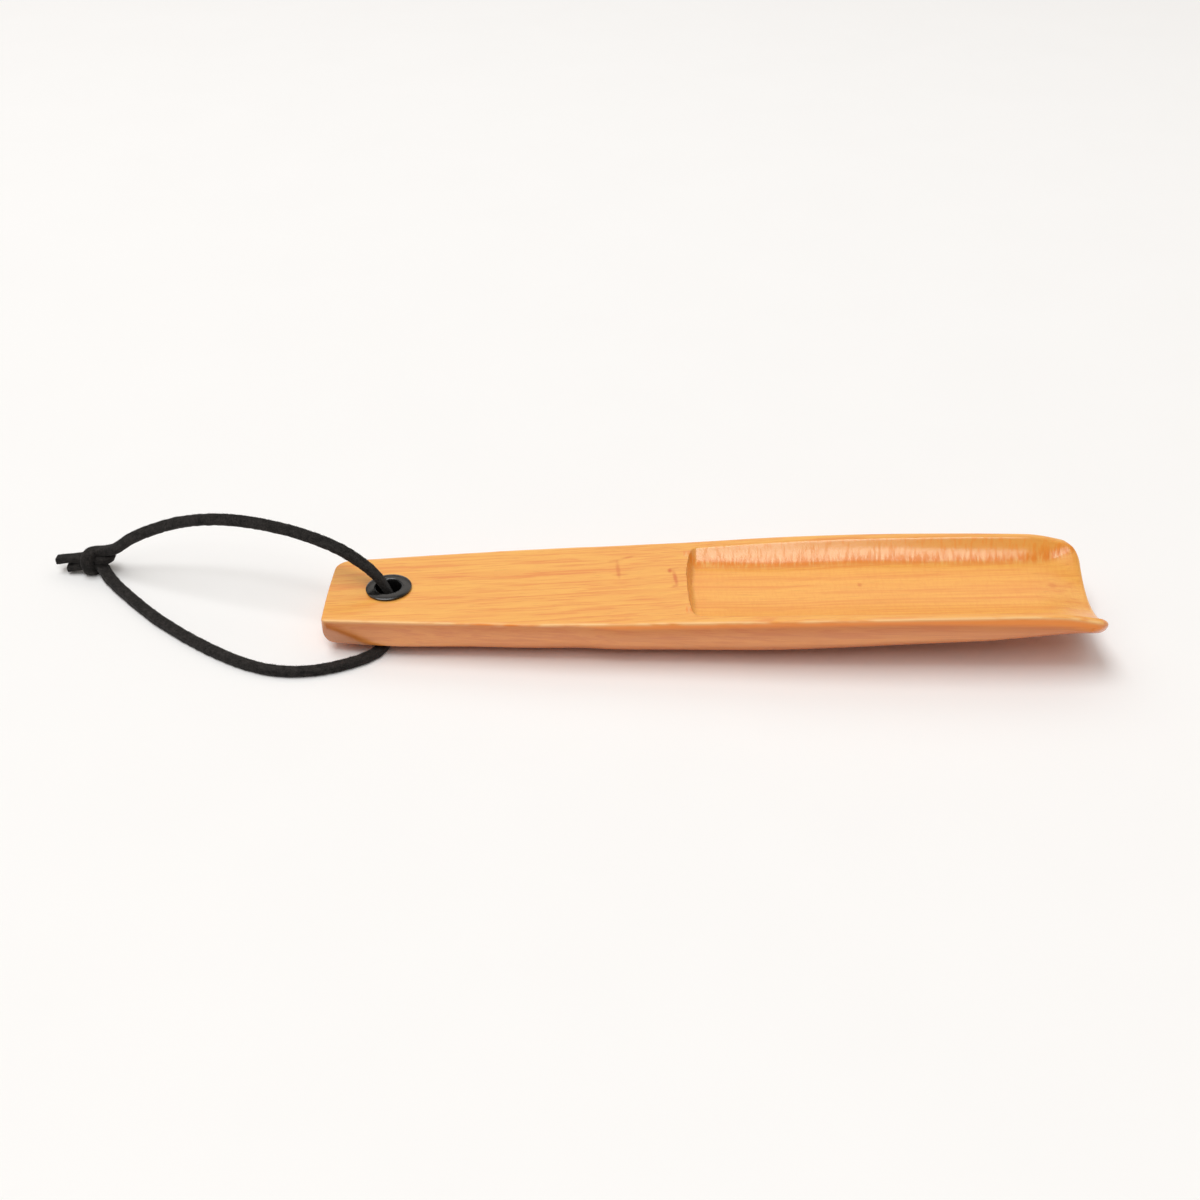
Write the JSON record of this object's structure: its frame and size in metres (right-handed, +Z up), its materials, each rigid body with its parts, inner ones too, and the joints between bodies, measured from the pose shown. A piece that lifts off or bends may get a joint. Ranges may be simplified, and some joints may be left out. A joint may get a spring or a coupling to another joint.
{
  "type": "shoe horn",
  "caption": "Short wooden shoe horn: a flat tapering handle that runs into a scooped blade with a thin curved tip, and a black suede lace tied through an eyelet as a hang loop.",
  "frame": {"origin": "on the table the belly rests on, under the middle of the wooden body's length and width", "axes": "+X from the handle's end to the tip of the blade, +Z up out of the scoop, +Y to the far side of the picture"},
  "size_m": [0.2664, 0.0491, 0.023],
  "materials": {
    "lacquered_wood": "orange-yellow wood under clear gloss lacquer",
    "black_eyelet": "glossy black",
    "suede_lace": "napped black suede"
  },
  "bodies": {
    "horn": {"horn_body": "lacquered_wood", "upper_eyelet": "black_eyelet", "lower_eyelet": "black_eyelet"},
    "hang_loop": {"lace_upper": "suede_lace", "lace_lower": "suede_lace"}
  },
  "joints": [
    {"name": "loop_swing", "type": "hinge", "parent": "horn", "child": "hang_loop", "pos_m": [-0.0797, 0, 0.0065], "axis": [0, 0, 1], "range_deg": [-60, 28]}
  ]
}
